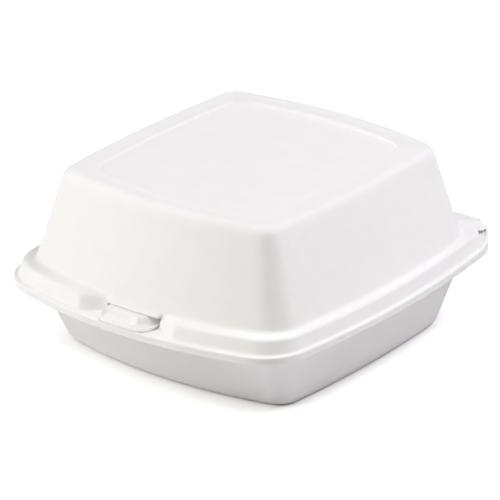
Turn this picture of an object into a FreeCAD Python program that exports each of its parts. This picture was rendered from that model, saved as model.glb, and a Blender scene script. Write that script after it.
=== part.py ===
import FreeCAD, Part
import math
import os
from collections import namedtuple

# A hinged sandwich box pressed from one sheet of white foam. All lengths are in millimetres.
# The front, with the latch, faces -Y. The hinge crease runs along X at the back.
# The origin is on the table, under the middle of the closed box.

# Overall sizes of the closed box
WIDTH = 147.0
DEPTH = 159.8
HEIGHT = 76.2

# The foam sheet, and the pressed rims where two sheets meet
WALL = 2.2
LIP_THICKNESS = 1.65
RIM_BOTTOM = 28.5
MATING_Z = RIM_BOTTOM + LIP_THICKNESS
LIP_TOP = MATING_Z + LIP_THICKNESS
SHELF_Z = 37.7

# Radii seen in the profile of the lid and the tray
TOP_ROUND = 4.6
SHOULDER_ROUND = 1.7
FOOT_ROUND = 1.5
TRAY_ROUND = 4.0
FILLET_STEPS = 4
MIN_CORNER = 1.5

# How far a cutter runs past what it cuts, how far a piece is let into its neighbour, and the
# small depth by which a hollow fillet is sunk in its wall
PAST = 5.0
LET_IN = 1.0
TUCK = 0.1

# The sunk panel in the top of the lid
PANEL_DEPTH = 1.0
PANEL_EDGE_WIDTH = 0.9

# The latch recess in the front of the lid's rim
RECESS_HALF_OUTER = 25.4
RECESS_HALF_INNER = 15.4
RECESS_MOUTH = 2.6
RECESS_THROAT = 2.0
RECESS_ROUND = 5.0
BROW_HALF = 13.4
BROW_REACH = 1.5
BROW_HEIGHT = 1.3
BROW_TOP = SHELF_Z - 0.9

# The slot of the latch, and the tongue that comes through it
SLOT_HALF = 13.6
SLOT_FRONT_STRIP = 2.9
SLOT_TOP = 35.9
SLOT_CORNER = 5.5
TONGUE_HALF = 12.1
TONGUE_TOP = 35.5
TONGUE_BACK_DROP = 0.4
TONGUE_CORNER = 4.4
TONGUE_SET_BACK = 0.2
TONGUE_RIDGE = 5.6
TONGUE_NOSE_THICKNESS = 2.3
TONGUE_NOSE_LEAN = 0.9
TONGUE_WALL = 1.9
TONGUE_BACK_GAP = 0.4
TONGUE_EDGE_HEIGHT = 1.2
TONGUE_LEFT_FLANK = 0.9
TONGUE_RIGHT_FLANK = 3.8
TONGUE_DISH_HALF = 7.2
TONGUE_DISH_MIDDLE = -2.4
TONGUE_DISH_DEPTH = 1.0
TONGUE_DISH_WIDTH = 3.8
LATCH_CLEARANCE = 0.35

# The hinge band of the lid, which arches from the shelf down to the crease
HINGE_HALF = 62.0
HINGE_SHEET = 1.65
HINGE_RADIUS = 8.2
HINGE_TOP = LIP_TOP + HINGE_RADIUS
HINGE_RAISED_HALF = 59.4
HINGE_RAISE = 0.5
HINGE_RAISED_RADIUS = 5.0
HINGE_SLIT_ROOF = 1.8
CREASE_CORNER = 11.8

# How far the other outlines lie inside the edge of the lip, at the side, the front and the back
SKIRT_FOOT_IN = (1.8, 2.3, 3.3)
SHELF_EDGE_IN = (3.3, 4.6, 4.9)
LID_FOOT_IN = (7.1, 10.6, 7.8)
LID_TOP_IN = (19.6, 22.5, 15.3)
PANEL_IN = (30.5, 32.6, 26.9)
TRAY_TOP_IN = (7.05, 11.7, 6.4)
TRAY_BOTTOM_IN = (16.2, 26.7, 15.3)

FRONT = -DEPTH / 2
BACK = DEPTH / 2

# An outline is a bowed square of eight arcs. half is the reach to the side at mid depth, front and
# back are the reaches along Y, and a bow is the radius of a side. A bow of 0 is a straight side.
Ring = namedtuple("Ring", "half front back front_bow side_bow back_bow front_corner back_corner")


def inset(ring, side, front=None, back=None):
    """The ring moved inwards by three distances, with its radii reduced by the first."""
    front = side if front is None else front
    back = side if back is None else back
    return Ring(
        ring.half - side,
        ring.front + front,
        ring.back - back,
        ring.front_bow - side,
        ring.side_bow - side,
        ring.back_bow - side if ring.back_bow else 0,
        max(ring.front_corner - side, MIN_CORNER),
        max(ring.back_corner - side, MIN_CORNER),
    )


def between(low, low_z, high, high_z, z):
    """The ring at height z of the wall that runs from one ring to another, or beyond them."""
    share = (z - low_z) / (high_z - low_z)
    return Ring(*[a + (b - a) * share for a, b in zip(low, high)])


def inside_lip(distances, *radii):
    """The ring that lies inside the lip's edge by three distances, with five radii of its own."""
    side, front, back = distances
    return Ring(WIDTH / 2 - side, FRONT + front, BACK - back, *radii)


# The rings of the object, each with the radii of its bows and corners
LIP = inside_lip((0, 0, 0), 192, 435, 0, 21.4, CREASE_CORNER)
SKIRT_FOOT = inside_lip(SKIRT_FOOT_IN, 190, 433, 0, 19.6, 10)
SHELF_EDGE = inside_lip(SHELF_EDGE_IN, 189, 432, 0, 18.1, 10)
LID_FOOT = inside_lip(LID_FOOT_IN, 186, 428, 420, 15, 13.5)
LID_TOP = inside_lip(LID_TOP_IN, 215, 600, 195, 7, 7)
PANEL = inside_lip(PANEL_IN, 170, 480, 170, 8, 8)
TRAY_TOP = inside_lip(TRAY_TOP_IN, 185, 428, 420, 15, 13.5)
TRAY_BOTTOM = inside_lip(TRAY_BOTTOM_IN, 190, 520, 200, 9, 9)

# Where the slot begins and ends, and the height of the underside of the tongue's nose
SLOT_FRONT = LIP.front + SLOT_FRONT_STRIP
SLOT_BACK = LID_FOOT.front + WALL + LET_IN
NOSE_FRONT = FRONT + TONGUE_SET_BACK
NOSE_UNDER = LIP_TOP + LATCH_CLEARANCE


def corner_centre(bow_radius, bow_sign, reach, side_x, side_y, side_radius, corner):
    """Centre of the arc that is tangent to a front or back bow and to the right side."""
    if not bow_radius:
        y = reach - bow_sign * corner
        return side_x + math.sqrt((side_radius - corner) ** 2 - (y - side_y) ** 2), y
    bow_y = reach - bow_sign * bow_radius
    from_bow = bow_radius - corner
    from_side = side_radius - corner
    dx = side_x
    dy = side_y - bow_y
    apart = math.hypot(dx, dy)
    along = (from_bow ** 2 - from_side ** 2 + apart ** 2) / (2 * apart)
    across = math.sqrt(from_bow ** 2 - along ** 2)
    mid_x = along * dx / apart
    mid_y = bow_y + along * dy / apart
    first = (mid_x - across * dy / apart, mid_y + across * dx / apart)
    second = (mid_x + across * dy / apart, mid_y - across * dx / apart)
    return first if first[0] > second[0] else second


def away(centre, origin, radius):
    """The point at a radius from origin, in the direction of centre."""
    dx = centre[0] - origin[0]
    dy = centre[1] - origin[1]
    length = math.hypot(dx, dy)
    return origin[0] + radius * dx / length, origin[1] + radius * dy / length


def wire(ring, z):
    """The closed outline of a ring at height z."""
    side = (ring.half - ring.side_bow, (ring.front + ring.back) / 2)
    front_c = corner_centre(ring.front_bow, -1, ring.front, *side, ring.side_bow, ring.front_corner)
    back_c = corner_centre(ring.back_bow, 1, ring.back, *side, ring.side_bow, ring.back_corner)
    front_bow = (0, ring.front + ring.front_bow)
    if ring.back_bow:
        back_end = away(back_c, (0, ring.back - ring.back_bow), ring.back_bow)
    else:
        back_end = (back_c[0], ring.back)
    ends = [
        away(front_c, front_bow, ring.front_bow),
        away(front_c, side, ring.side_bow),
        away(back_c, side, ring.side_bow),
        back_end,
    ]
    middles = [
        middle_of_corner(front_c, ends[0], ends[1], ring.front_corner),
        (ring.half, side[1]),
        middle_of_corner(back_c, ends[2], ends[3], ring.back_corner),
    ]

    def at(point, sign=1):
        return FreeCAD.Vector(sign * point[0], point[1], z)

    edges = [Part.Arc(at(ends[0], -1), FreeCAD.Vector(0, ring.front, z), at(ends[0])).toShape()]
    for middle, start, end in zip(middles, ends[:-1], ends[1:]):
        edges.append(Part.Arc(at(start), at(middle), at(end)).toShape())
    if ring.back_bow:
        edges.append(Part.Arc(at(ends[3]), FreeCAD.Vector(0, ring.back, z), at(ends[3], -1)).toShape())
    else:
        edges.append(Part.LineSegment(at(ends[3]), at(ends[3], -1)).toShape())
    for middle, start, end in zip(middles[::-1], ends[:0:-1], ends[-2::-1]):
        edges.append(Part.Arc(at(start, -1), at(middle, -1), at(end, -1)).toShape())
    return Part.Wire(edges)


def middle_of_corner(centre, start, end, radius):
    """The point halfway round a corner arc."""
    x = (start[0] + end[0]) / 2
    y = (start[1] + end[1]) / 2
    return away((x, y), centre, radius)


def block(levels):
    """A solid through a stack of (ring, height) levels."""
    return Part.makeLoft([wire(ring, z) for ring, z in levels], True, True)


def rounded_top(low, low_z, high, high_z, radius, stop=None):
    """A tapered block whose upper edge is rounded by a stack of rings, with a ring at a stop."""
    slope = (low.half - high.half) / (high_z - low_z)
    turn = math.pi / 2 - math.atan(slope)
    cut = radius * math.tan(turn / 2)
    levels = [(low, low_z)]
    if stop:
        levels.append((between(low, low_z, high, high_z, stop), stop))
    for step in range(FILLET_STEPS + 1):
        angle = turn * step / FILLET_STEPS
        inward = cut - radius * math.sin(turn - angle)
        drop = radius * (1 - math.cos(turn - angle))
        levels.append((inset(high, inward), high_z - drop))
    return block(levels)


def rounded_bottom(low, low_z, high, high_z, radius):
    """A block that widens upwards and whose lower edge is rounded by a stack of rings."""
    slope = (high.half - low.half) / (high_z - low_z)
    turn = math.pi / 2 - math.atan(slope)
    cut = radius * math.tan(turn / 2)
    levels = []
    for step in range(FILLET_STEPS + 1):
        angle = turn * step / FILLET_STEPS
        inward = cut - radius * math.sin(angle)
        rise = radius * (1 - math.cos(angle))
        levels.append((inset(low, inward), low_z + rise))
    levels.append((high, high_z))
    return block(levels)


def foot_flare(radius, offset):
    """The hollow fillet between the lid's wall and its shelf, as a stack of rings round the foot."""
    levels = [(inset(LID_FOOT, offset - radius), SHELF_Z - offset - LET_IN)]
    for step in range(FILLET_STEPS + 1):
        angle = math.pi / 2 * step / FILLET_STEPS
        z = SHELF_Z + radius * (1 - math.cos(angle))
        ring = between(LID_FOOT, SHELF_Z, LID_TOP, HEIGHT, z)
        inward = offset + TUCK * step / FILLET_STEPS - radius * (1 - math.sin(angle))
        levels.append((inset(ring, inward), z - offset))
    return block(levels)


def prism(points, low, high):
    """An upright prism over a closed path of straight lines."""
    vectors = [FreeCAD.Vector(x, y, low) for x, y in points]
    face = Part.Face(Part.makePolygon(vectors + vectors[:1]))
    return face.extrude(FreeCAD.Vector(0, 0, high - low))


def round_uprights(solid, radius, wanted):
    """The solid with the upright edges rounded whose place satisfies wanted."""
    chosen = []
    for edge in solid.Edges:
        box = edge.BoundBox
        upright = box.XLength < 1e-6 and box.YLength < 1e-6
        if upright and wanted(box.Center.x, box.Center.y):
            chosen.append(edge)
    return solid.makeFillet(radius, chosen)


def recess_cutter(grow):
    """The space of the latch recess in the rim, grown by a wall where the inside is made."""
    outer = RECESS_HALF_OUTER + grow
    inner = RECESS_HALF_INNER + grow
    front = FRONT - PAST
    mouth = LIP.front + RECESS_MOUTH
    deep = LID_FOOT.front + PAST
    throat = LID_FOOT.front - RECESS_THROAT
    points = [(-outer, front), (-outer, mouth), (-inner, throat), (-inner, deep),
              (inner, deep), (inner, throat), (outer, mouth), (outer, front)]
    solid = prism(points, MATING_Z - PAST, SHELF_Z + PAST)
    return round_uprights(solid, RECESS_ROUND, lambda x, y: mouth - TUCK < y < throat + TUCK)


def lid_form(offset):
    """The outer form of the lid, or with an offset the form of the space inside it."""
    low_z = MATING_Z - LET_IN if offset else LIP_TOP - LIP_THICKNESS / 2
    foot = between(LID_FOOT, SHELF_Z, LID_TOP, HEIGHT, low_z)
    dome = rounded_top(
        inset(foot, offset), low_z, inset(LID_TOP, offset), HEIGHT - offset, TOP_ROUND - offset,
        stop=SHELF_Z + FOOT_ROUND,
    )
    rim = rounded_top(
        inset(between(SKIRT_FOOT, LIP_TOP, SHELF_EDGE, SHELF_Z, low_z), offset), low_z,
        inset(SHELF_EDGE, offset), SHELF_Z - offset, SHOULDER_ROUND,
    )
    flare = foot_flare(FOOT_ROUND + offset, offset)
    return dome.fuse(rim.fuse(flare).cut(recess_cutter(offset)))


def top_panel(grow, low, high):
    """The sunk panel of the lid's top, wider at its upper edge."""
    widening = PANEL_EDGE_WIDTH * (high - low) / PANEL_DEPTH
    return block([(inset(PANEL, -grow), low), (inset(PANEL, -grow - widening), high)])


def slot_plan(shrink, low, high):
    """The upright solid over the slot's plan, with round front corners, shrunk by a distance."""
    half = SLOT_HALF - shrink
    front = SLOT_FRONT + shrink
    points = [(-half, front), (half, front), (half, SLOT_BACK), (-half, SLOT_BACK)]
    solid = prism(points, low, high)
    return round_uprights(solid, SLOT_CORNER - shrink, lambda x, y: y < front + TUCK)


def brow():
    """The small ledge pressed in the wall above the slot."""
    edge = LID_FOOT.front - BROW_REACH
    back = LID_FOOT.front + LET_IN
    points = [(-BROW_HALF, edge), (BROW_HALF, edge), (BROW_HALF, back), (-BROW_HALF, back)]
    solid = prism(points, BROW_TOP - BROW_HEIGHT, BROW_TOP)
    return round_uprights(solid, BROW_REACH / 2, lambda x, y: y < edge + TUCK)


def hinge_arch(half, outer, top_z):
    """A strip of the hinge band: flat, then a quarter arch that ends upright on the crease. It is
    one with the shelf, and a slit parts its upright foot from the rim."""
    inner = outer - HINGE_SHEET
    axis_y = BACK - outer
    axis_z = top_z - outer
    top_y = LID_FOOT.back - LET_IN
    roof_z = SHELF_Z - HINGE_SLIT_ROOF
    roof_y = axis_y + math.sqrt(inner ** 2 - (roof_z - axis_z) ** 2)
    diagonal = math.sqrt(0.5)
    middle_angle = math.asin((roof_z - axis_z) / inner) / 2

    def at(y, z):
        return FreeCAD.Vector(-half, y, z)

    def line(start, end):
        return Part.LineSegment(start, end).toShape()

    outline = [
        line(at(BACK, MATING_Z), at(BACK, axis_z)),
        Part.Arc(
            at(BACK, axis_z), at(axis_y + outer * diagonal, axis_z + outer * diagonal),
            at(axis_y, top_z),
        ).toShape(),
        line(at(axis_y, top_z), at(top_y, top_z)),
        line(at(top_y, top_z), at(top_y, roof_z)),
        line(at(top_y, roof_z), at(roof_y, roof_z)),
        Part.Arc(
            at(roof_y, roof_z),
            at(axis_y + inner * math.cos(middle_angle), axis_z + inner * math.sin(middle_angle)),
            at(BACK - HINGE_SHEET, axis_z),
        ).toShape(),
        line(at(BACK - HINGE_SHEET, axis_z), at(BACK - HINGE_SHEET, MATING_Z)),
        line(at(BACK - HINGE_SHEET, MATING_Z), at(BACK, MATING_Z)),
    ]
    return Part.Face(Part.Wire(outline)).extrude(FreeCAD.Vector(2 * half, 0, 0))


def hinge_band():
    """The hinge band, raised along its middle, with its ends trimmed to the edge of the lip."""
    ends = hinge_arch(HINGE_HALF, HINGE_RADIUS, HINGE_TOP)
    middle = hinge_arch(HINGE_RAISED_HALF, HINGE_RAISED_RADIUS, HINGE_TOP + HINGE_RAISE)
    return ends.fuse(middle).common(block([(LIP, MATING_Z), (LIP, HEIGHT)]))


def lid():
    """The lid with its lip, latch recess, slot, sunk panel and hinge band."""
    inside = lid_form(WALL)
    lip = block([(LIP, MATING_Z), (LIP, LIP_TOP)])
    shell = lid_form(0).fuse([lip, brow()])
    shell = shell.cut(top_panel(0, HEIGHT - PANEL_DEPTH, HEIGHT + PANEL_DEPTH))
    ceiling = HEIGHT - PANEL_DEPTH - WALL
    inside = inside.cut(top_panel(WALL, ceiling, HEIGHT))
    shell = shell.fuse(hinge_band()).cut(inside)
    return shell.cut(slot_plan(0, MATING_Z - LET_IN, SLOT_TOP))


def extruded(points, half):
    """A solid over a side view of (y, z) points, that reaches a half width to each side."""
    vectors = [FreeCAD.Vector(-half, y, z) for y, z in points]
    face = Part.Face(Part.makePolygon(vectors + vectors[:1]))
    return face.extrude(FreeCAD.Vector(2 * half, 0, 0))


def tongue_head():
    """The nose of the tongue, which lies on the lid's front strip, and the ridge behind it."""
    back = LID_FOOT.front + WALL - TONGUE_BACK_GAP
    tip_top = NOSE_UNDER + TONGUE_NOSE_THICKNESS
    ridge = NOSE_FRONT + TONGUE_RIDGE
    profile = extruded([
        (back, NOSE_UNDER), (back, TONGUE_TOP - TONGUE_BACK_DROP),
        (ridge + TONGUE_BACK_DROP, TONGUE_TOP - TONGUE_BACK_DROP), (ridge, TONGUE_TOP),
        (NOSE_FRONT + TONGUE_NOSE_LEAN, tip_top),
        (NOSE_FRONT, (NOSE_UNDER + tip_top) / 2),
        (NOSE_FRONT + TONGUE_NOSE_LEAN / 2, NOSE_UNDER),
    ], TONGUE_HALF)
    points = [(-TONGUE_HALF, NOSE_FRONT), (TONGUE_HALF, NOSE_FRONT),
              (TONGUE_HALF, back), (-TONGUE_HALF, back)]
    plan = prism(points, RIM_BOTTOM, TONGUE_TOP + LET_IN)
    plan = round_uprights(plan, TONGUE_CORNER, lambda x, y: y < NOSE_FRONT + TUCK)
    return profile.common(plan).common(tongue_flanks(back))


def tongue_flanks(back):
    """The front view of the head as a solid: a steep flank at the left, a broad one at the right."""
    edge_z = NOSE_UNDER + TONGUE_EDGE_HEIGHT
    left = -TONGUE_HALF + TONGUE_LEFT_FLANK
    right = TONGUE_HALF - TONGUE_RIGHT_FLANK
    points = [(-TONGUE_HALF, NOSE_UNDER), (TONGUE_HALF, NOSE_UNDER), (TONGUE_HALF, edge_z),
              (right, TONGUE_TOP), (left, TONGUE_TOP), (-TONGUE_HALF, edge_z)]
    vectors = [FreeCAD.Vector(x, NOSE_FRONT, z) for x, z in points]
    face = Part.Face(Part.makePolygon(vectors + vectors[:1]))
    return face.extrude(FreeCAD.Vector(0, back - NOSE_FRONT, 0))


def tongue_root(offset, low, high):
    """The upright part of the tongue that stands in the slot, or with an offset its hollow."""
    back = LID_FOOT.front + WALL - TONGUE_BACK_GAP - offset
    half = TONGUE_HALF - offset
    strip = prism([(-half, FRONT), (half, FRONT), (half, back), (-half, back)], low, high)
    return strip.common(slot_plan(LATCH_CLEARANCE + offset, low, high))


def tongue_dish():
    """The thumb dish pressed in the sloping front of the tongue."""
    run = TONGUE_RIDGE - TONGUE_NOSE_LEAN
    tip_top = NOSE_UNDER + TONGUE_NOSE_THICKNESS
    slope = math.atan2(TONGUE_TOP - tip_top, run)
    half = TONGUE_DISH_HALF
    radius = (TONGUE_DISH_WIDTH / 2) ** 2 / (2 * TONGUE_DISH_DEPTH) + TONGUE_DISH_DEPTH / 2
    middle = FreeCAD.Vector(0, NOSE_FRONT + TONGUE_NOSE_LEAN + run / 2, (TONGUE_TOP + tip_top) / 2)
    axis = middle + FreeCAD.Vector(TONGUE_DISH_MIDDLE - half, 0, radius - TONGUE_DISH_DEPTH)
    dish = Part.makeCylinder(radius, 2 * half, axis, FreeCAD.Vector(1, 0, 0))
    dish.rotate(middle, FreeCAD.Vector(1, 0, 0), math.degrees(slope))
    return dish


def base_tray():
    """The tray with its flange and the hollow tongue of the latch."""
    flange_middle = (RIM_BOTTOM + MATING_Z) / 2
    outside_top = between(TRAY_BOTTOM, 0, TRAY_TOP, RIM_BOTTOM, flange_middle)
    outside = rounded_bottom(TRAY_BOTTOM, 0, outside_top, flange_middle, TRAY_ROUND)
    above = MATING_Z + LET_IN
    inside_top = inset(between(TRAY_BOTTOM, 0, TRAY_TOP, RIM_BOTTOM, above), WALL)
    inside = rounded_bottom(inset(TRAY_BOTTOM, WALL), WALL, inside_top, above, TRAY_ROUND - WALL)
    flange = block([(LIP, RIM_BOTTOM), (LIP, MATING_Z)])
    shell = outside.fuse(flange).cut(inside)
    head = tongue_head().cut(tongue_dish())
    root = tongue_root(0, RIM_BOTTOM, NOSE_UNDER + LET_IN)
    hollow = tongue_root(TONGUE_WALL, RIM_BOTTOM - LET_IN, NOSE_UNDER)
    return shell.fuse([root, head]).cut(hollow)


def export(shape, node):
    """Writes one node, and says its size and volume."""
    shape.exportStep("parts/" + node + ".step")
    box = shape.BoundBox
    print(node, "solids", len(shape.Solids), "valid", shape.isValid(), "faces", len(shape.Faces),
          "volume", round(shape.Volume, 1), "x", round(box.XMin, 2), round(box.XMax, 2),
          "y", round(box.YMin, 2), round(box.YMax, 2), "z", round(box.ZMin, 2), round(box.ZMax, 2))


os.makedirs("parts", exist_ok=True)
export(base_tray(), "base_tray")
export(lid(), "lid")
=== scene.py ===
import bpy
import bmesh
import math
from collections import namedtuple
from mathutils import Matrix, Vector, noise


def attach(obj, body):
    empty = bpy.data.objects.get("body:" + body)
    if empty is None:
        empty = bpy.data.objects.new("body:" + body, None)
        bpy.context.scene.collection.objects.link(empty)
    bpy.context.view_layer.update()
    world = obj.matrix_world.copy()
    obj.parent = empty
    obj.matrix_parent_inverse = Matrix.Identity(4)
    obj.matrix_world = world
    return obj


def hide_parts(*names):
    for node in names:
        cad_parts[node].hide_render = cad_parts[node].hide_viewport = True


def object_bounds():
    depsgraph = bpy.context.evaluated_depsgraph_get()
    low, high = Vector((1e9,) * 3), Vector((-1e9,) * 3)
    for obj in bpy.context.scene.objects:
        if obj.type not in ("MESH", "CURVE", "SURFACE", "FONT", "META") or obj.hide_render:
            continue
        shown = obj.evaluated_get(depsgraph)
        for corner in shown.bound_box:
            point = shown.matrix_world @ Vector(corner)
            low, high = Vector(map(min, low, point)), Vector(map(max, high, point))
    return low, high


# A hinged sandwich box pressed from one sheet of white foam, closed, on a white table.
# Lengths are in millimetres unless a comment says otherwise; MM turns them into metres.
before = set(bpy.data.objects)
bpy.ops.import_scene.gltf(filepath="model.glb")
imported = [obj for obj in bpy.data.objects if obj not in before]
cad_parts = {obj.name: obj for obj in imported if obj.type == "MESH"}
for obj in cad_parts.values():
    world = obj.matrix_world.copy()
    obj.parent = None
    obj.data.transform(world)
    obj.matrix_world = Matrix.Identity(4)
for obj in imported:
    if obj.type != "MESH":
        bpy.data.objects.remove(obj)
cad_low, cad_high = [list(corner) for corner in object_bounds()]
MM = 0.001

# Overall sizes, read from the frame
HALF_WIDTH = cad_high[0] / MM
FRONT = cad_low[1] / MM
BACK = cad_high[1] / MM
HEIGHT = cad_high[2] / MM
FLANGE_BOTTOM = 28.5
SHEET = 2.2
PRESSED = 1.65
MATING_Z = FLANGE_BOTTOM + PRESSED
LIP_TOP = MATING_Z + PRESSED
SHELF_Z = 37.7

# The sunk panel of the top
PANEL_DEPTH = 1.0
PANEL_EDGE_WIDTH = 0.55
MARGIN_DIP = 0.45

# The latch: recess, brow, slot and tongue
RECESS_FOOT = 23.5
RECESS_SPAN = 11.5
RECESS_LEAN = 1.8
BROW_HALF = 13.4
BROW_REACH = 1.5
BROW_LOW = 35.5
BROW_TOP = 36.8
SLOT_HALF = 13.1
SLOT_STRIP = 2.9
SLOT_TOP = 35.5
SLOT_CORNER = 5.5
SLOT_CLEARANCE = 0.35
TONGUE_HALF = 12.1
TONGUE_TOP = 35.5
TONGUE_UNDER = LIP_TOP + 0.04
TONGUE_FRONT = FRONT + 0.25
TONGUE_BACK = FRONT + 10.6 + SHEET - 0.6
TONGUE_RIDGE = TONGUE_FRONT + 4.8
NOSE_THICKNESS = 1.7
TONGUE_WALL = 1.9
ROOT_CORNER = 4.0
# The tongue's flanks: where the left one starts, its slope, and the fall of the right one
LEFT_FLANK_X = -11.0
LEFT_FLANK_SLOPE = 1.3
CROWN_X = 4.9
CROWN_LEAN = 0.7
CROWN_LEAST = 3.4
RIGHT_FALL = 1.9
RIGHT_FALL_WIDTH = 3.4
RIGHT_TILT = 1.2
# The thumb dish: its middle, half its size both ways and its depth
DISH_X = -2.6
DISH_BEHIND_FRONT = 2.9
DISH_HALF = 8.0
DISH_HALF_RUN = 2.1
DISH_DEPTH = 1.75

# The hinge band
HINGE_RADIUS = 8.2
HINGE_TOP = LIP_TOP + HINGE_RADIUS
HINGE_RAISED_HALF = 59.4
HINGE_RAISE = 0.5
HINGE_RAISED_RADIUS = 5.0
HINGE_REACH = 69.0
HINGE_SKIN = 1.1
SLIT_ROOF = SHELF_Z - 0.5
ARCH_STEPS = 14
# The oblique cut of the band's ends, across the lip's corner: offset along it and height
HINGE_END = [(-10.9, HINGE_TOP + 0.9), (-9.8, HINGE_TOP - 0.1), (-8.6, 39.0), (-0.3, LIP_TOP)]
POCKET_DEPTH = 2.6
# The slope of the band's shoulder: distance from the middle and height
HINGE_SHOULDER = [
    (60.4, HINGE_TOP + 0.3), (62.0, 39.6), (63.0, 39.0), (64.2, 37.0), (65.2, 34.8), (66.8, 33.2),
    (71.0, LIP_TOP - 0.3),
]
# Past every side of the box, for blocks that cut right through it
PAST = 80

# The camera, fitted to the edges in the photograph
AZIMUTH = math.radians(37.54)
ELEVATION = math.radians(23.34)
DISTANCE = 1764.8
AIM = (-7.3, 13.0, 30.5)
LENS_MM = 317.2
SENSOR_MM = 36.0

# How finely the outlines are drawn: points in half a front, a corner, a side and half a back
FRONT_POINTS = 130
CORNER_POINTS = 22
SIDE_POINTS = 34
BACK_POINTS = 24
ROUND_STEPS = 6

# How far the die-cut edge lies inwards on average
EDGE_INWARD = 0.10
MIN_CORNER = 1.5

# The table and the lamps, in metres
TABLE_SIZE = 6.0
LAMP_SIZE = 1.4
LAMP_AIM = (0, 0, 0.04)


def place_camera():
    """The camera of the photograph."""
    data = bpy.data.cameras.new("camera")
    camera = bpy.data.objects.new("camera", data)
    bpy.context.scene.collection.objects.link(camera)
    data.lens = LENS_MM
    data.sensor_width = SENSOR_MM
    data.clip_end = 20
    back = Vector((
        math.sin(AZIMUTH) * math.cos(ELEVATION),
        -math.cos(AZIMUTH) * math.cos(ELEVATION),
        math.sin(ELEVATION),
    ))
    camera.location = (Vector(AIM) + back * DISTANCE) * MM
    camera.rotation_euler = (math.pi / 2 - ELEVATION, 0, AZIMUTH)
    bpy.context.scene.camera = camera


# An outline is a bowed square of tangent arcs: its reach to the side, front and back, the radii
# of its front, side and back bows (0 for a straight back), and of its front and back corners
Ring = namedtuple("Ring", "half front back front_bow side_bow back_bow front_corner back_corner")


def inset(ring, side, front=None, back=None):
    """The ring moved inwards, with its radii reduced by the first distance."""
    front = side if front is None else front
    back = side if back is None else back
    return Ring(
        ring.half - side, ring.front + front, ring.back - back,
        ring.front_bow - side, ring.side_bow - side, ring.back_bow - side if ring.back_bow else 0,
        max(ring.front_corner - side, MIN_CORNER), max(ring.back_corner - side, MIN_CORNER),
    )


def between(low, high, share):
    """The ring at a share of the way from one ring to another, or beyond them."""
    return Ring(*[a + (b - a) * share for a, b in zip(low, high)])


def inside_lip(side, front, back, *radii):
    """The ring that lies inside the lip's edge by three distances, with five radii of its own."""
    return Ring(HALF_WIDTH - side, FRONT + front, BACK - back, *radii)


LIP = inside_lip(0, 0, 0, 192, 435, 0, 21.4, 11.8)
SKIRT_FOOT = inside_lip(1.8, 2.3, 3.3, 190, 433, 0, 19.6, 10)
SHELF_EDGE = inside_lip(3.3, 4.6, 4.9, 189, 432, 0, 18.1, 10)
LID_FOOT = inside_lip(7.1, 10.6, 7.8, 186, 428, 420, 15, 13.5)
LID_TOP = inside_lip(19.6, 22.5, 15.3, 215, 600, 195, 7, 7)
PANEL = inside_lip(30.5, 32.6, 26.9, 170, 480, 170, 8, 8)
TRAY_TOP = inside_lip(7.05, 11.7, 6.4, 185, 428, 420, 15, 13.5)
TRAY_BOTTOM = inside_lip(16.2, 26.7, 15.3, 190, 520, 200, 9, 9)


def corner_centre(bow, sign, reach, side_x, side_y, side_bow, corner):
    """Centre of the arc that is tangent to a front or back bow and to the right side."""
    if not bow:
        y = reach - sign * corner
        return side_x + math.sqrt((side_bow - corner) ** 2 - (y - side_y) ** 2), y
    bow_y = reach - sign * bow
    from_bow = bow - corner
    from_side = side_bow - corner
    apart = math.hypot(side_x, side_y - bow_y)
    along = (from_bow ** 2 - from_side ** 2 + apart ** 2) / (2 * apart)
    across = math.sqrt(from_bow ** 2 - along ** 2)
    dx = side_x / apart
    dy = (side_y - bow_y) / apart
    ends = [(along * dx + s * across * dy, bow_y + along * dy - s * across * dx) for s in (-1, 1)]
    return max(ends)


def sweep(centre, radius, start, end, count):
    """Points on an arc from the direction of start to that of end, without the last point."""
    a = math.atan2(start[1] - centre[1], start[0] - centre[0])
    b = math.atan2(end[1] - centre[1], end[0] - centre[0])
    turn = (b - a + math.pi) % (2 * math.pi) - math.pi
    angles = [a + turn * step / count for step in range(count)]
    return [(centre[0] + radius * math.cos(t), centre[1] + radius * math.sin(t)) for t in angles]


def away(centre, origin, radius):
    """The point at a radius from origin, in the direction of centre."""
    length = math.hypot(centre[0] - origin[0], centre[1] - origin[1])
    return tuple(o + radius * (c - o) / length for c, o in zip(centre, origin))


def outline(ring):
    """Points round a ring, from the middle of the front by the right side to the back and on."""
    side = (ring.half - ring.side_bow, (ring.front + ring.back) / 2)
    front_c = corner_centre(ring.front_bow, -1, ring.front, *side, ring.side_bow, ring.front_corner)
    back_c = corner_centre(ring.back_bow, 1, ring.back, *side, ring.side_bow, ring.back_corner)
    front_o = (0, ring.front + ring.front_bow)
    front_end = away(front_c, front_o, ring.front_bow)
    side_start = away(front_c, side, ring.side_bow)
    side_end = away(back_c, side, ring.side_bow)
    points = sweep(front_o, ring.front_bow, (0, ring.front), front_end, FRONT_POINTS)
    points += sweep(front_c, ring.front_corner, front_end, side_start, CORNER_POINTS)
    points += sweep(side, ring.side_bow, side_start, side_end, SIDE_POINTS)
    if ring.back_bow:
        back_o = (0, ring.back - ring.back_bow)
        back_start = away(back_c, back_o, ring.back_bow)
        points += sweep(back_c, ring.back_corner, side_end, back_start, CORNER_POINTS)
        points += sweep(back_o, ring.back_bow, back_start, (0, ring.back), BACK_POINTS)
    else:
        back_start = (back_c[0], ring.back)
        points += sweep(back_c, ring.back_corner, side_end, back_start, CORNER_POINTS)
        shares = [step / BACK_POINTS for step in range(BACK_POINTS)]
        points += [(back_c[0] * (1 - share), ring.back) for share in shares]
    left = [(-x, y) for x, y in points[:0:-1]]
    return points + [(0, ring.back)] + left


def smooth(value):
    """An even step from 0 to 1."""
    value = min(max(value, 0), 1)
    return value * value * (3 - 2 * value)


def mix(a, b, share):
    """The point at a share of the way from one point to another."""
    return [p + (q - p) * share for p, q in zip(a, b)]


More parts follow.
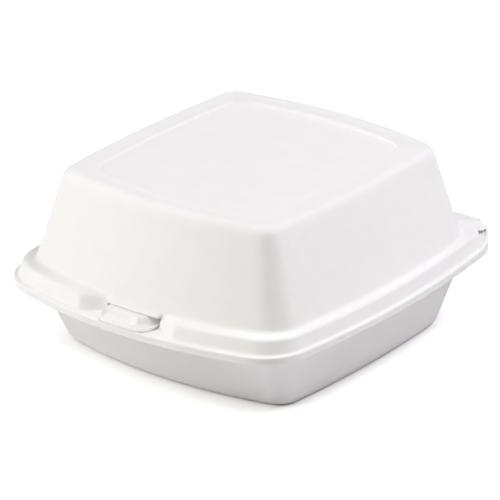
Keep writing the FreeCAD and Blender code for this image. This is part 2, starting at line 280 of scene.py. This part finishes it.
def rounded(points, lengths):
    """A path of corner points with each corner turned into a short curve of even steps."""
    path = [Vector(points[0])]
    for index in range(1, len(points) - 1):
        before, corner, after = [Vector(p) for p in points[index - 1:index + 2]]
        to_before = before - corner
        to_after = after - corner
        first = min(lengths[index], to_before.length * 0.46)
        last = min(lengths[index], to_after.length * 0.46)
        start = corner + to_before.normalized() * first
        end = corner + to_after.normalized() * last
        for step in range(ROUND_STEPS + 1):
            t = step / ROUND_STEPS
            path.append(start * (1 - t) ** 2 + corner * 2 * t * (1 - t) + end * t * t)
    path.append(Vector(points[-1]))
    return path


def shell_mesh(name, columns):
    """A closed mesh from columns of points that all run from one middle point to another."""
    rows = len(columns[0])
    count = len(columns)
    vertices = [columns[0][0]]
    for row in range(1, rows - 1):
        vertices += [column[row] for column in columns]
    vertices.append(columns[0][-1])
    faces = []
    for i in range(count):
        j = (i + 1) % count
        faces.append((0, 1 + j, 1 + i))
        for row in range(rows - 3):
            a = 1 + row * count
            faces.append((a + i, a + j, a + count + j, a + count + i))
        last = 1 + (rows - 3) * count
        faces.append((last + i, last + j, len(vertices) - 1))
    return new_object(name, vertices, faces)


def new_object(name, vertices, faces):
    """An object from points in millimetres."""
    mesh = bpy.data.meshes.new(name)
    mesh.from_pydata([tuple(Vector(v) * MM) for v in vertices], [], faces)
    mesh.validate()
    mesh.update()
    obj = bpy.data.objects.new(name, mesh)
    bpy.context.scene.collection.objects.link(obj)
    return obj


def outward(obj):
    """Turns the faces of a closed mesh outwards."""
    work = bmesh.new()
    work.from_mesh(obj.data)
    bmesh.ops.remove_doubles(work, verts=work.verts, dist=1e-7)
    bmesh.ops.recalc_face_normals(work, faces=work.faces)
    work.to_mesh(obj.data)
    work.free()
    return obj


def combine(obj, tool, operation):
    """Joins a tool to an object or cuts it away, and deletes the tool."""
    modifier = obj.modifiers.new("combine", "BOOLEAN")
    modifier.operation = operation
    modifier.object = tool
    modifier.solver = "MANIFOLD"
    graph = bpy.context.evaluated_depsgraph_get()
    mesh = bpy.data.meshes.new_from_object(obj.evaluated_get(graph))
    obj.modifiers.clear()
    obj.data = mesh
    bpy.data.objects.remove(tool)


def shade(obj, sharp_degrees=38):
    """Smooth shading that keeps the cut edges crisp."""
    for polygon in obj.data.polygons:
        polygon.use_smooth = True
    obj.data.set_sharp_from_angle(angle=math.radians(sharp_degrees))


def nibble(point, amount, scale):
    """A small rough offset for a die-cut edge."""
    return amount * noise.noise(Vector(point) * scale)


def lid_keys():
    """The key points of the lid, in order from the middle of the ceiling, round the lip, to the
    middle of the top: the ring, the height and how far the corner there is rounded."""
    inner_foot = inset(LID_FOOT, SHEET)
    ceiling = HEIGHT - PANEL_DEPTH - SHEET
    under = HEIGHT - SHEET
    return {
        "ceiling_panel": (inset(PANEL, -SHEET), ceiling, 1.2),
        "ceiling_step": (inset(PANEL, -SHEET - PANEL_EDGE_WIDTH), under, 1.2),
        "ceiling_edge": (inset(LID_TOP, SHEET), under, 2.6),
        "under_foot": (inner_foot, SHELF_Z - SHEET, 3.2),
        "under_shelf": (inset(SHELF_EDGE, SHEET), SHELF_Z - SHEET, 1.4),
        "under_skirt": (inset(SKIRT_FOOT, SHEET), MATING_Z, 0.5),
        "lip_low": (LIP, MATING_Z, 0.12),
        "lip_high": (LIP, LIP_TOP, 0.7),
        "skirt_foot": (SKIRT_FOOT, LIP_TOP, 0.9),
        "skirt_low": (between(SKIRT_FOOT, SHELF_EDGE, 0.4), LIP_TOP + 0.4 * (SHELF_Z - LIP_TOP), 0.5),
        "skirt_high": (between(SKIRT_FOOT, SHELF_EDGE, 0.6), LIP_TOP + 0.6 * (SHELF_Z - LIP_TOP), 0.5),
        "shelf_edge": (SHELF_EDGE, SHELF_Z, 1.9),
        "lid_foot": (LID_FOOT, SHELF_Z, 1.7),
        "lid_top": (LID_TOP, HEIGHT, 4.4),
        "margin": (between(LID_TOP, PANEL, 0.55), HEIGHT - MARGIN_DIP, 2.4),
        "panel_edge": (inset(PANEL, -PANEL_EDGE_WIDTH), HEIGHT, 0.5),
        "panel": (PANEL, HEIGHT - PANEL_DEPTH, 0.3),
    }


def on_wall(foot, top, z):
    """The point of the lid's outer wall at a height, from its foot and top points."""
    share = (z - SHELF_Z) / (HEIGHT - SHELF_Z)
    return mix((*foot, SHELF_Z), (*top, HEIGHT), share)


def lid_columns():
    """The columns of the lid, with the recess and the brow shaped in its front."""
    keys = lid_keys()
    rings = {name: outline(ring) for name, (ring, _, _) in keys.items()}
    columns = []
    for index in range(len(rings["lip_low"])):
        at = {name: [*rings[name][index], keys[name][1]] for name in keys}
        length = {name: keys[name][2] for name in keys}
        x = abs(at["lip_low"][0])
        if at["lip_low"][1] < 0 and x < RECESS_FOOT + RECESS_LEAN + 2 * SHEET:
            shape_recess(at, length, x)
        roughen_lip(at)
        path = [(0, 0, at["ceiling_panel"][2])]
        path += discs(at["ceiling_panel"], 6)
        corners = list(at.values())
        inner = rounded(
            [path[-1], *corners, [at["panel"][0] * 0.93, at["panel"][1] * 0.93, at["panel"][2]]],
            [0, *length.values(), 0],
        )
        path += inner[1:]
        path += discs(inner[-1], 14)[::-1][1:]
        path.append((0, 0, at["panel"][2]))
        columns.append(path)
    return columns


def discs(point, count):
    """Points from near the middle of a flat panel out to a point near its edge."""
    return [
        (point[0] * step / (count + 1), point[1] * step / (count + 1), point[2])
        for step in range(1, count + 1)
    ]


def shape_recess(at, length, x):
    """Moves one column's points where the recess interrupts the rim. Its end walls lean outwards."""
    def share(height, sheet=0):
        reach = RECESS_FOOT + RECESS_LEAN * height + sheet
        return smooth((reach - x) / RECESS_SPAN)

    foot = at["lid_foot"][:2]
    top = at["lid_top"][:2]
    brow = smooth(BROW_HALF + 0.5 - x)
    out = [0, -BROW_REACH * brow, 0]
    low = on_wall(foot, top, BROW_LOW)
    base = on_wall(foot, top, LIP_TOP)
    under = [a + b for a, b in zip(on_wall(foot, top, BROW_LOW + 0.1 * brow), out)]
    high = [a + b for a, b in zip(on_wall(foot, top, BROW_TOP), out)]
    join = on_wall(foot, top, BROW_TOP + 0.5)
    at["skirt_foot"] = mix(at["skirt_foot"], base, share(0))
    at["skirt_low"] = mix(at["skirt_low"], low, share(0.4))
    at["skirt_high"] = mix(at["skirt_high"], under, share(0.6))
    at["shelf_edge"] = mix(at["shelf_edge"], high, share(1))
    at["lid_foot"] = mix(at["lid_foot"], join, share(1))
    inner_base = [base[0], base[1] + SHEET, MATING_Z]
    inner_low = [low[0], low[1] + SHEET, at["under_shelf"][2]]
    at["under_skirt"] = mix(at["under_skirt"], inner_base, share(0, SHEET))
    at["under_shelf"] = mix(at["under_shelf"], inner_low, share(1, SHEET))
    length["shelf_edge"] += (0.7 - length["shelf_edge"]) * share(1)
    length["lid_foot"] += (1.1 - length["lid_foot"]) * share(1)


def roughen_lip(at):
    """The die-cut edge of the lip isn't quite even."""
    for name in ("lip_low", "lip_high"):
        x, y, z = at[name]
        inward = max(EDGE_INWARD + nibble((x, y, z), 0.16, 0.9) + nibble((x, y, z), 0.10, 0.25), 0)
        size = math.hypot(x, y)
        at[name] = [x * (1 - inward / size), y * (1 - inward / size), z]


def rounded_block(name, half, front, back, low, high, corner, steps=10):
    """An upright block with round front corners."""
    points = []
    for sign in (1, -1):
        centre = (sign * (half - corner), front + corner)
        arc = [
            (centre[0] + sign * corner * math.sin(t), centre[1] - corner * math.cos(t))
            for t in [math.pi / 2 * step / steps for step in range(steps + 1)]
        ]
        points += arc if sign == 1 else arc[::-1]
        if sign == 1:
            points += [(half, back), (-half, back)]
    return upright(name, points, low, high)


def hinge_section(x, raised):
    """The side view of the hinge band at x: forward over its arch from the lip's edge to the wall."""
    top = HINGE_TOP + HINGE_RAISE * raised
    reach = HINGE_RADIUS + (HINGE_RAISED_RADIUS - HINGE_RADIUS) * raised
    wall_y = LID_FOOT.back - x * x / (2 * LID_FOOT.back_bow) - 0.8 * SHEET
    section = [(wall_y, MATING_Z), (wall_y, top)]
    return section + arch(reach, top - reach) + [(BACK, MATING_Z)]


def arch(reach, axis_z):
    """Points over a quarter arch that comes down to the lip's edge."""
    turns = [math.pi / 2 * step / ARCH_STEPS for step in range(ARCH_STEPS + 1)]
    return [(BACK - reach + reach * math.sin(t), axis_z + reach * math.cos(t)) for t in turns]


def extruded(name, sections):
    """A closed block through sections of points (x, y, z)."""
    count = len(sections[0])
    vertices = [point for section in sections for point in section]
    faces = [tuple(range(count)), tuple(range(len(vertices) - count, len(vertices)))[::-1]]
    for row in range(len(sections) - 1):
        for i in range(count):
            j = (i + 1) % count
            a = row * count
            faces.append((a + i, a + j, a + count + j, a + count + i))
    return outward(new_object(name, vertices, faces))


def hinge_band():
    """The band over the hinge, higher and squarer along its middle. It wraps round the back
    corners of the lip, is open behind its foot and is cut obliquely at its ends."""
    stations = [(-HINGE_REACH, 0)]
    for step in range(7):
        stations.append((-HINGE_RAISED_HALF - 0.2 + step * 0.06, smooth(step / 6)))
    stations += [(-40 + step * 8, 1) for step in range(6)]
    stations += [(-x, raised) for x, raised in stations[::-1] if x < 0]
    sections = [[(x, y, z) for y, z in hinge_section(x, raised)] for x, raised in stations]
    band = extruded("hinge_band", sections)
    combine(band, upright("lip_edge", outline(inset(LIP, 0.05)), MATING_Z - 1, HEIGHT), "INTERSECT")
    inside = HINGE_RADIUS - HINGE_SKIN
    section = [(y - HINGE_SKIN, z) for y, z in arch(inside, LIP_TOP) if z < SLIT_ROOF]
    front = BACK - 25
    section = [(front, MATING_Z - 1), (front, SLIT_ROOF), (section[0][0], SLIT_ROOF), *section,
               (BACK - HINGE_SKIN, MATING_Z - 1)]
    hollow = extruded("hollow", [[(x, y, z) for y, z in section] for x in (-75, 75)])
    inner_edge = upright("inner_edge", outline(inset(LIP, HINGE_SKIN)), MATING_Z - 2, HEIGHT)
    combine(hollow, inner_edge, "INTERSECT")
    mouths = across_corner(-1, POCKET_DEPTH, MATING_Z - 3)
    combine(mouths, across_corner(1, POCKET_DEPTH, MATING_Z - 3), "UNION")
    combine(hollow, mouths, "INTERSECT")
    combine(band, hollow, "DIFFERENCE")
    for sign in (-1, 1):
        combine(band, across_corner(sign, 0, LIP_TOP), "DIFFERENCE")
        slope = [(sign * x, z) for x, z in HINGE_SHOULDER]
        foot_z = HINGE_SHOULDER[-1][1]
        start_x = HINGE_SHOULDER[0][0]
        slope += [(sign * PAST, foot_z), (sign * PAST, HEIGHT), (sign * start_x, HEIGHT)]
        beyond = extruded("beyond", [[(x, y, z) for x, z in slope] for y in (BACK - 40, BACK + 5)])
        combine(band, beyond, "DIFFERENCE")
    return band


def across_corner(sign, deeper, low):
    """A block beyond the oblique cut at the left or right end of the band."""
    profile = [(-deeper + HINGE_END[0][0], HEIGHT)] + [(u - deeper, z) for u, z in HINGE_END]
    profile += [(-deeper - 0.3, low)] * (low < LIP_TOP) + [(45, low), (45, HEIGHT)]
    turn = math.sqrt(0.5)
    sections = [
        [(sign * turn * (v + u), turn * (v - u), z) for u, z in profile] for v in (75, 125)
    ]
    return extruded("mouth", sections)


def upright(name, points, low, high):
    """An upright block over a closed plan of points."""
    count = len(points)
    vertices = [(x, y, low) for x, y in points] + [(x, y, high) for x, y in points]
    faces = [tuple(range(count))[::-1], tuple(range(count, 2 * count))]
    for i in range(count):
        j = (i + 1) % count
        faces.append((i, j, count + j, count + i))
    return outward(new_object(name, vertices, faces))


def slot_cutter():
    """A block the size of the punched slot."""
    return rounded_block(
        "slot", SLOT_HALF, LIP.front + SLOT_STRIP, LID_FOOT.front + SHEET + 1.0,
        MATING_Z - 2, SLOT_TOP, SLOT_CORNER,
    )


def make_lid():
    """The lid with its hinge band and the slot of its latch."""
    lid = outward(shell_mesh("lid_shell", lid_columns()))
    combine(lid, hinge_band(), "UNION")
    combine(lid, slot_cutter(), "DIFFERENCE")
    shade(lid)
    return lid


def tray_columns():
    """The columns of the tray, from the middle of its underside, round the flange, to its floor."""
    inner_top = inset(between(TRAY_BOTTOM, TRAY_TOP, MATING_Z / FLANGE_BOTTOM), SHEET)
    keys = [
        (TRAY_BOTTOM, 0, 4.2), (TRAY_TOP, FLANGE_BOTTOM, 0.8), (LIP, FLANGE_BOTTOM, 0.5),
        (LIP, MATING_Z, 0.12), (inner_top, MATING_Z, 0.9), (inset(TRAY_BOTTOM, SHEET), SHEET, 3.4),
    ]
    rings = [outline(ring) for ring, _, _ in keys]
    columns = []
    for index in range(len(rings[0])):
        at = [[*ring[index], key[1]] for ring, key in zip(rings, keys)]
        for number in (2, 3):
            x, y, z = at[number]
            size = math.hypot(x, y)
            inward = max(EDGE_INWARD + nibble((x, y, z + 9), 0.2, 0.8), 0)
            ragged = nibble((x, y, 5), 0.55, 1.3) * (number == 2 and y < 0)
            at[number] = [x * (1 - inward / size), y * (1 - inward / size), z + max(ragged, 0)]
        first = discs(at[0], 8)
        body = rounded([first[-1], *at, (at[-1][0] * 0.88, at[-1][1] * 0.88, at[-1][2])],
                       [0, *[key[2] for key in keys], 0])
        path = [(0, 0, 0), *first, *body[1:]]
        path += discs(body[-1], 8)[::-1][1:]
        path.append((0, 0, SHEET))
        columns.append(path)
    return columns


def tongue_outline(grow_in, steps=12):
    """The plan of the tongue's head, moved inwards, as a closed loop from its back left corner."""
    half = TONGUE_HALF - grow_in
    front = TONGUE_FRONT + grow_in
    back = TONGUE_BACK - grow_in * 0.15
    corner = max(5.2 - grow_in * 0.7, 1.0)
    points = []
    for step in range(8):
        points.append((-half, back + (front + corner - back) * step / 8))
    for step in range(steps):
        t = math.pi / 2 * step / steps
        points.append((-half + corner * (1 - math.cos(t)), front + corner * (1 - math.sin(t))))
    for step in range(16):
        points.append((-half + corner + (2 * half - 2 * corner) * step / 16, front))
    for step in range(steps):
        t = math.pi / 2 * step / steps
        points.append((half - corner * (1 - math.sin(t)), front + corner * (1 - math.cos(t))))
    for step in range(8):
        points.append((half, front + corner + (back - front - corner) * step / 8))
    for step in range(16):
        points.append((half - 2 * half * step / 16, back))
    return points


def lower(a, b, blend):
    """The lower of two heights, with a soft change from one to the other."""
    share = min(max(0.5 + (b - a) / (2 * blend), 0), 1)
    return b + (a - b) * share - blend * share * (1 - share)


def tongue_height(x, y):
    """The top of the tongue: a slope up from the nose to the ridge, a steep flank at the left and
    a broad one at the right, and a thumb dish pressed in front of the ridge."""
    tip = TONGUE_UNDER + NOSE_THICKNESS
    climb = (TONGUE_TOP - tip) / (TONGUE_RIDGE - TONGUE_FRONT)
    slope = lower(tip + climb * (y - TONGUE_FRONT), TONGUE_TOP, 0.5)
    crown = max(CROWN_X + CROWN_LEAN * (y - TONGUE_RIDGE), CROWN_LEAST)
    beyond = max(x - crown, 0)
    right = TONGUE_TOP + 0.1 - RIGHT_FALL * smooth(beyond / RIGHT_FALL_WIDTH)
    right -= RIGHT_TILT * beyond / (TONGUE_HALF - crown)
    left = TONGUE_TOP + 0.2 + LEFT_FLANK_SLOPE * (x - LEFT_FLANK_X)
    across = abs(x - DISH_X) / DISH_HALF
    along = abs(y - TONGUE_FRONT - DISH_BEHIND_FRONT) / DISH_HALF_RUN
    dish = DISH_DEPTH * smooth((1.14 - (across ** 4 + along ** 4) ** 0.25) / 0.3)
    return lower(lower(slope, right, 0.35), left, 0.4) - dish


def tongue_head():
    """The head of the tongue, a rounded pillow with a thumb dish."""
    levels = [
        (1.2, 0.0), (0.3, 0.0), (0.05, 0.06), (0.0, 0.3), (0.1, 0.62), (0.4, 0.86), (0.8, 0.97),
        *[(1.2 + 0.35 * step, 1.0) for step in range(14)],
    ]
    loops = []
    for grow_in, share in levels:
        loop = []
        for x, y in tongue_outline(grow_in):
            top = tongue_height(x, y)
            loop.append((x, y, TONGUE_UNDER + (top - TONGUE_UNDER) * share))
        loops.append(loop)
    count = len(loops[0])
    vertices = [point for loop in loops for point in loop]
    faces = []
    for row in range(len(loops) - 1):
        for i in range(count):
            j = (i + 1) % count
            a = row * count
            faces.append((a + i, a + j, a + count + j, a + count + i))
    faces.append(tuple(range(count)))
    last = (len(loops) - 1) * count
    middle = (0, sum(p[1] for p in loops[-1]) / count)
    vertices.append((*middle, tongue_height(*middle)))
    for i in range(count):
        faces.append((last + i, last + (i + 1) % count, len(vertices) - 1))
    return outward(new_object("tongue_head", vertices, faces))


def make_tray():
    """The tray with the tongue of its latch, which is hollow underneath."""
    tray = outward(shell_mesh("tray_shell", tray_columns()))
    front = LIP.front + SLOT_STRIP + SLOT_CLEARANCE
    back = TONGUE_BACK - 0.1
    root = rounded_block(
        "root", TONGUE_HALF, front, back, FLANGE_BOTTOM, TONGUE_UNDER + 0.9, ROOT_CORNER
    )
    combine(tray, root, "UNION")
    combine(tray, tongue_head(), "UNION")
    hollow = rounded_block(
        "hollow", TONGUE_HALF - TONGUE_WALL, front + TONGUE_WALL, back - TONGUE_WALL,
        FLANGE_BOTTOM - 2, TONGUE_TOP - 2.6, 2.6,
    )
    combine(tray, hollow, "DIFFERENCE")
    shade(tray)
    return tray


def foam():
    """White foam sheet: faint cells and mottling in its bump, colour and gloss."""
    material = bpy.data.materials.new("foam")
    material.use_nodes = True
    nodes = material.node_tree.nodes
    links = material.node_tree.links
    shader = nodes["Principled BSDF"]
    place = nodes.new("ShaderNodeTexCoord")

    def texture(kind, scale, detail=2.0):
        node = nodes.new(kind)
        node.inputs["Scale"].default_value = scale
        if "Detail" in node.inputs:
            node.inputs["Detail"].default_value = detail
        links.new(place.outputs["Object"], node.inputs["Vector"])
        return node

    cells = texture("ShaderNodeTexVoronoi", 1500)
    grain = texture("ShaderNodeTexNoise", 900, 4)
    mottle = texture("ShaderNodeTexNoise", 140, 3)
    wave = texture("ShaderNodeTexNoise", 28, 2)

    def spread(source, socket, low, high, to_low, to_high):
        node = nodes.new("ShaderNodeMapRange")
        node.inputs["From Min"].default_value = low
        node.inputs["From Max"].default_value = high
        node.inputs["To Min"].default_value = to_low
        node.inputs["To Max"].default_value = to_high
        links.new(source.outputs[socket], node.inputs["Value"])
        return node

    tint = nodes.new("ShaderNodeMix")
    tint.data_type = "RGBA"
    tint.inputs["A"].default_value = (0.880, 0.877, 0.884, 1)
    tint.inputs["B"].default_value = (0.896, 0.894, 0.900, 1)
    links.new(spread(mottle, "Fac", 0.3, 0.7, 0, 1).outputs["Result"], tint.inputs["Factor"])
    links.new(tint.outputs["Result"], shader.inputs["Base Color"])
    gloss = spread(grain, "Fac", 0.25, 0.75, 0.44, 0.58)
    links.new(gloss.outputs["Result"], shader.inputs["Roughness"])

    def bump(source, socket, strength, distance, below=None):
        node = nodes.new("ShaderNodeBump")
        node.inputs["Strength"].default_value = strength
        node.inputs["Distance"].default_value = distance
        links.new(source.outputs[socket], node.inputs["Height"])
        if below:
            links.new(below.outputs["Normal"], node.inputs["Normal"])
        return node

    broad = bump(wave, "Fac", 0.12, 0.0008)
    pebble = bump(mottle, "Fac", 0.12, 0.0001, broad)
    fine = bump(grain, "Fac", 0.25, 0.00006, pebble)
    cell = bump(cells, "Distance", 0.2, 0.00005, fine)
    links.new(cell.outputs["Normal"], shader.inputs["Normal"])
    shader.inputs["Specular IOR Level"].default_value = 0.35
    shader.inputs["Subsurface Weight"].default_value = 0.35
    shader.inputs["Subsurface Radius"].default_value = (1.0, 0.9, 0.8)
    shader.inputs["Subsurface Scale"].default_value = 0.0008
    return material


def area_light(name, place, watts, colour):
    """A soft square lamp, aimed at the middle of the box."""
    data = bpy.data.lights.new(name, "AREA")
    data.shape = "SQUARE"
    data.size = LAMP_SIZE
    data.energy = watts
    data.color = colour
    light = bpy.data.objects.new(name, data)
    bpy.context.scene.collection.objects.link(light)
    light.location = place
    direction = Vector(LAMP_AIM) - Vector(place)
    light.rotation_euler = direction.to_track_quat("-Z", "Y").to_euler()


def studio():
    """A white table whose glow to the camera fades close to the box as a painted contact shadow, a
    white surround and five soft lamps round the box.
    """
    half = TABLE_SIZE / 2 / MM
    corners = [(-half, -half, 0), (half, -half, 0), (half, half, 0), (-half, half, 0)]
    table = new_object("table", corners, [(0, 1, 2, 3)])
    material = bpy.data.materials.new("table_white")
    material.use_nodes = True
    nodes = material.node_tree.nodes
    links = material.node_tree.links
    shader = nodes["Principled BSDF"]
    shader.inputs["Roughness"].default_value = 0.9
    shader.inputs["Specular IOR Level"].default_value = 0.0
    shader.inputs["Emission Color"].default_value = (1, 1, 1, 1)
    seen = nodes.new("ShaderNodeLightPath")
    tone = nodes.new("ShaderNodeMix")
    tone.data_type = "RGBA"
    tone.inputs["A"].default_value = (0.82, 0.82, 0.83, 1)
    tone.inputs["B"].default_value = (1, 1, 1, 1)
    links.new(seen.outputs["Is Camera Ray"], tone.inputs["Factor"])
    links.new(tone.outputs["Result"], shader.inputs["Base Color"])
    scale = nodes.new("ShaderNodeMath")
    scale.operation = "MULTIPLY"
    scale.inputs[1].default_value = 0.5
    links.new(seen.outputs["Is Camera Ray"], scale.inputs[0])
    # The table's glow to the camera fades close to the box by ambient occlusion: a painted contact
    # shadow under and round it
    near = nodes.new("ShaderNodeAmbientOcclusion")
    near.inputs["Distance"].default_value = 0.016
    glow_with_painted_shadow = nodes.new("ShaderNodeMath")
    glow_with_painted_shadow.operation = "MULTIPLY"
    links.new(scale.outputs["Value"], glow_with_painted_shadow.inputs[0])
    links.new(near.outputs["AO"], glow_with_painted_shadow.inputs[1])
    links.new(glow_with_painted_shadow.outputs["Value"], shader.inputs["Emission Strength"])
    table.data.materials.append(material)

    world = bpy.data.worlds.new("surround")
    bpy.context.scene.world = world
    world.use_nodes = True
    nodes = world.node_tree.nodes
    links = world.node_tree.links
    output = nodes["World Output"]
    ambient = nodes["Background"]
    ambient.inputs["Color"].default_value = (1, 1, 1, 1)
    ambient.inputs["Strength"].default_value = 0.0
    white = nodes.new("ShaderNodeBackground")
    white.inputs["Strength"].default_value = 1.0
    seen = nodes.new("ShaderNodeLightPath")
    choose = nodes.new("ShaderNodeMixShader")
    links.new(seen.outputs["Is Camera Ray"], choose.inputs["Fac"])
    links.new(ambient.outputs["Background"], choose.inputs[1])
    links.new(white.outputs["Background"], choose.inputs[2])
    links.new(choose.outputs["Shader"], output.inputs["Surface"])

    area_light("left", (-1.584, -1.329, 0.752), 32.2, (1.0, 0.985, 1.0))
    area_light("front", (0, -1.414, 1.685), 11.2, (1.0, 0.935, 0.68))
    area_light("right", (0.874, 0.318, 1.994), 31.3, (0.94, 0.944, 1.0))
    area_light("right_back", (1.584, 1.329, 0.752), 5.5, (1.0, 0.88, 0.54))
    area_light("back", (0.843, 1.460, 1.414), 14.6, (0.885, 0.864, 1.0))


bpy.context.scene.view_settings.view_transform = "Standard"
place_camera()
studio()
material = foam()
lid = make_lid()
tray = make_tray()
for piece, body, node in ((lid, "cover", "lid"), (tray, "base", "base_tray")):
    piece.data.materials.clear()
    piece.data.materials.append(material)
    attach(piece, body)
    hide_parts(node)
